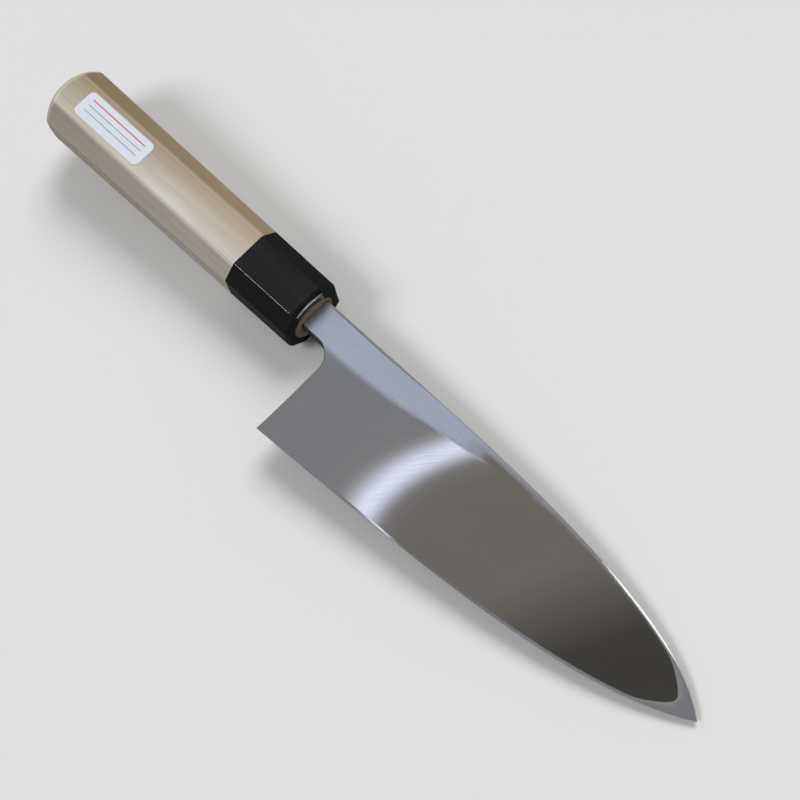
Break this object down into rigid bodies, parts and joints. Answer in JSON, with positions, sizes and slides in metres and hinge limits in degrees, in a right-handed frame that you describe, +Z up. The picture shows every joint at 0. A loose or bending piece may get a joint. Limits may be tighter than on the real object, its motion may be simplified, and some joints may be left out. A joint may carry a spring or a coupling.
{
  "type": "deba knife",
  "caption": "Single-bevel deba kitchen knife: thick pointed blade with a hollow-ground face, octagonal pale wood handle, black horn ferrule and hidden tang.",
  "frame": {"origin": "on the lowest level of the handle, below the middle of the whole knife's box", "axes": "+X along the handle towards the tip, +Y from the edge towards the spine, +Z up out of the hollow face"},
  "size_m": [0.333, 0.0581, 0.0259],
  "materials": {
    "soft_iron": "satin, fine stone-polished scratches",
    "hard_steel": "bright polish with fine grinding lines",
    "magnolia_wood": "smooth sanded, bare, satin",
    "black_horn": "polished",
    "dark_resin": "dull",
    "white_paper": "smooth coated paper"
  },
  "bodies": {
    "root": {"blade_iron": "soft_iron", "blade_steel": "hard_steel", "handle": "magnolia_wood", "ferrule": "black_horn", "tang_seal": "dark_resin", "label": "white_paper"}
  },
  "joints": []
}
